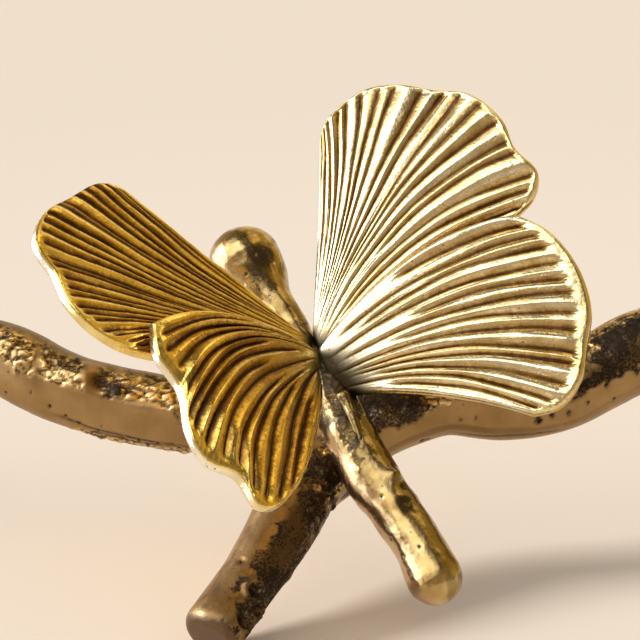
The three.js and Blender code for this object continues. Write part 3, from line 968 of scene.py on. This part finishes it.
def make_twig_finish(groups):
    finish, graph, shader = new_metal("twig brass, polished over patina and painted shade")
    skin = graph.use(groups["cast"], Grain_Scale=2000.0, Blotch_Scale=190.0, Pit_Scale=520.0)
    crest, patina_and_shade, gold_side_reflection = map(graph.attribute, ("crest", "patina_and_shade", "gold_side_reflection"))
    hollow = graph.larger(graph.minus(1.0, crest), patina_and_shade)
    dark = graph.use(groups["patina"], Hollow=hollow, Blotches=skin["Blotches"], Grain=skin["Grain"],
                     Spread=0.26, Raggedness=1.1)["Mask"]

    lower_side_reflection, upper_side_reflection = (graph.ramp(skin["Blotches"], stops) for stops in (TWIG_LOWER_SIDE_REFLECTION, TWIG_UPPER_SIDE_REFLECTION))
    colour = graph.mix(gold_side_reflection, lower_side_reflection, upper_side_reflection)
    # Patina and painted shade on the twig, darkest under the lobes.
    colour = graph.mix(graph.times(patina_and_shade, 0.85), colour, TWIG_PATINA_AND_SHADE_COLOUR)
    colour = graph.mix(dark, colour, TWIG_PATINA)
    colour = graph.mix(skin["Pits"], colour, TWIG_PIT)
    graph.feed(shader.inputs["Base Color"], colour)

    rough = graph.plus(graph.times(skin["Grain"], 0.22), graph.times(dark, 0.2))
    graph.feed(shader.inputs["Roughness"], graph.plus(rough, 0.11))
    graph.bump(shader, (skin["Blotches"], 0.12 * MM), (skin["Grain"], 0.03 * MM))
    return finish


def make_branch_finish(groups):
    finish, graph, shader = new_metal("branch bronze, satin and bark")
    skin = graph.use(groups["cast"], Grain_Scale=1700.0, Blotch_Scale=120.0, Pit_Scale=330.0)
    crest, bark, patina_and_shade, sawn = map(graph.attribute, ("crest", "bark", "patina_and_shade", "sawn"))
    brushed = graph.use(groups["brushed"])["Marks"]
    hollow = graph.times(graph.minus(1.0, crest), bark)
    hollow = graph.larger(graph.times(hollow, 0.85), graph.times(patina_and_shade, 0.9))
    dark = graph.use(groups["patina"], Hollow=hollow, Blotches=skin["Blotches"], Grain=skin["Grain"],
                     Spread=0.33, Raggedness=1.2)["Mask"]

    satin, polished = graph.ramp(skin["Blotches"], SATIN_BRONZE), graph.ramp(crest, POLISHED_BRONZE)
    colour = graph.mix(bark, satin, polished)
    # Patina and painted shade on the branch.
    colour = graph.mix(graph.times(patina_and_shade, 0.85), colour, BRONZE_PATINA_AND_SHADE_COLOUR)
    colour = graph.mix(dark, colour, BRONZE_PATINA)
    colour = graph.mix(skin["Pits"], colour, BRONZE_PIT)
    colour = graph.mix(sawn, colour, SAWN_END)
    graph.feed(shader.inputs["Base Color"], colour)

    rough = graph.plus(graph.times(skin["Grain"], 0.16), graph.times(brushed, 0.16))
    rough = graph.plus(rough, graph.times(dark, 0.22))
    rough = graph.minus(graph.plus(rough, 0.24), graph.times(bark, 0.12))
    graph.feed(shader.inputs["Roughness"], rough)
    graph.bump(shader, (skin["Blotches"], 0.2 * MM), (brushed, 0.03 * MM), (skin["Grain"], 0.05 * MM))
    return finish


# ---- Studio ----
PAPER = (0.84, 0.72, 0.584)
# Painted light: the paper is painted lighter round the object, against the shade that falls there.
PAPER_PAINTED_LIGHT = 1.075  # how much lighter the paper is round the object
PAPER_PAINTED_LIGHT_FADE = (0.08, 0.40)  # from where to where it fades, in metres
SENSOR_WIDTH = 36
AIM_OFFSET = Vector((0.0005, 0.0025, 0.0061))

SKY_FILL = (0.50, 0.50, 0.505)
# The room as the metal sees it, by height: level at 0, overhead at 1.
ROOM = [(0.0, (0.50, 0.40, 0.29)), (0.3, (0.49, 0.38, 0.26)), (0.6, (0.34, 0.26, 0.165)),
        (1.0, (0.04, 0.033, 0.025))]
# Patches over the room, each laid on the ones before it: direction, the angles at which it starts
# and is full, colour.
ROOM_LIGHTS = [
    ((0.625, 0.643, 0.443), 60, 25, (0.56, 0.39, 0.10)),  # golden wall, behind at the right
    ((0.36, 0.36, 0.86), 20, 9, (1.5, 1.2, 0.6)),  # small warm lamp, high at the right
    ((0.21, 0.95, 0.21), 34, 12, (1.0, 0.86, 0.62)),  # cream backdrop
    ((-0.45, -0.30, 0.84), 41, 12, (2.4, 2.35, 2.3)),  # softbox, high at the left
]

WINDOW_PLACE, WINDOW_SCALE = (-0.34, 0.04, 0.16), (0.32, 0.50, 1)
WINDOW_COLOUR, WINDOW_STRENGTH = (0.8, 0.84, 1.0), 3.5

KEY_DIRECTION = Vector((-0.894, 0.045, 0.447))
CORE_INSET = 0.8 * MM


def make_camera():
    away = Vector((0, -math.cos(CAMERA_TILT), math.sin(CAMERA_TILT)))
    bpy.ops.object.camera_add(location=Vector(HEART) + AIM_OFFSET + CAMERA_DISTANCE * away)
    camera = bpy.context.object
    camera.rotation_euler = (math.pi / 2 - CAMERA_TILT, 0, 0)
    camera.data.sensor_width = SENSOR_WIDTH
    camera.data.lens = SENSOR_WIDTH * CAMERA_DISTANCE / FRAME_WIDTH
    bpy.context.scene.camera = camera


def make_floor():
    deselect()
    bpy.ops.mesh.primitive_plane_add(size=8, location=(0, 0, 0))
    floor = bpy.context.object
    floor.name = "studio_floor"
    finish, graph, shader = new_finish("cream studio paper, painted lighter round the object")
    distance = graph.add("ShaderNodeVectorMath", operation="LENGTH")
    graph.feed(distance.inputs[0], graph.place())
    near, far = PAPER_PAINTED_LIGHT_FADE
    # Painted light: lighter near the object, fading out by the far distance.
    tone = graph.ramp(distance.outputs["Value"], [
        (near, tuple(PAPER_PAINTED_LIGHT * share for share in PAPER)), (far, PAPER)])
    graph.feed(shader.inputs["Base Color"], tone)
    shader.inputs["Roughness"].default_value = 1.0
    shader.inputs["Specular IOR Level"].default_value = 0.0
    floor.data.materials.append(finish)


def make_world():
    """What the metal mirrors: a dim room with a softbox, a lamp and a cream backdrop.

    Matt surfaces are lit by an even dome instead, so the paper stays one tone.
    """
    world = bpy.data.worlds.new("studio")
    bpy.context.scene.world = world
    world.use_nodes = True
    graph, back = Graph(world.node_tree), world.node_tree.nodes["Background"]
    direction = graph.add("ShaderNodeTexCoord").outputs["Generated"]
    split = graph.add("ShaderNodeSeparateXYZ")
    graph.feed(split.inputs["Vector"], direction)
    mirrored = graph.ramp(split.outputs["Z"], ROOM)
    for centre, outer, inner, colour in ROOM_LIGHTS:
        dot = graph.add("ShaderNodeVectorMath", operation="DOT_PRODUCT")
        graph.feed(dot.inputs[0], direction)
        dot.inputs[1].default_value = Vector(centre).normalized()
        near = graph.rise(dot.outputs["Value"], math.cos(math.radians(outer)), math.cos(math.radians(inner)))
        mirrored = graph.mix(near, mirrored, colour)
    path = graph.add("ShaderNodeLightPath").outputs
    matt = graph.larger(path["Is Diffuse Ray"], path["Is Camera Ray"])
    graph.feed(back.inputs["Color"], graph.mix(matt, mirrored, SKY_FILL))
    back.inputs["Strength"].default_value = 1.0


def make_window_card():
    """A bright card standing at the left, seen only in the metal, as a low window would be."""
    deselect()
    bpy.ops.mesh.primitive_plane_add(size=1, location=WINDOW_PLACE, rotation=(0, math.pi / 2, 0))
    card = bpy.context.object
    card.name = "window_card"
    card.scale = WINDOW_SCALE
    finish, graph, shader = new_finish("window glow")
    graph.feed(shader.inputs["Base Color"], (0, 0, 0))
    graph.feed(shader.inputs["Emission Color"], WINDOW_COLOUR)
    shader.inputs["Specular IOR Level"].default_value = 0.0
    shader.inputs["Emission Strength"].default_value = WINDOW_STRENGTH
    card.data.materials.append(finish)
    card.visible_camera = card.visible_diffuse = card.visible_shadow = False


def make_shadow_core():
    """A core inside the main limb: the key light takes its shadow in place of the branch's.

    It lies wholly inside the branch, so the left arm throws no hard shadow over the paper.
    """
    core = limb_tube("shadow_core", MAIN_LIMB, [], [])
    move_points(core.data, per_vertex(core.data, "co") - per_vertex(core.data, "normal") * CORE_INSET)
    core.visible_camera = core.visible_glossy = core.visible_diffuse = False
    return core


def make_sun(name, energy, angle, blocker):
    """A distant light from the left, whose shadow is thrown by the blocker alone."""
    deselect()
    bpy.ops.object.light_add(type="SUN")
    sun = bpy.context.object
    sun.name = name
    sun.data.energy = energy
    sun.data.angle = math.radians(angle)
    sun.rotation_euler = KEY_DIRECTION.to_track_quat("Z", "Y").to_euler()
    blockers = bpy.data.collections.new(name + "_blockers")
    blockers.objects.link(blocker)
    sun.light_linking.blocker_collection = blockers


# ---- Making it all ----
make_camera()
make_floor()
make_world()
make_window_card()
groups = {"cast": make_cast_group(), "patina": make_patina_group(), "brushed": make_brushed_group()}
leaf_brass, twig_brass = make_leaf_finish(groups), make_twig_finish(groups)
for name, lobe in LOBES.items():
    make_lobe(name, lobe, leaf_brass)
make_twig(twig_brass)
make_stalk(twig_brass)
make_branch(make_branch_finish(groups))
core = make_shadow_core()
make_sun("key_light", 3.25, 14, core)
make_sun("soft_light", 0.4, 50, core)

bpy.context.scene.view_settings.view_transform = "Standard"
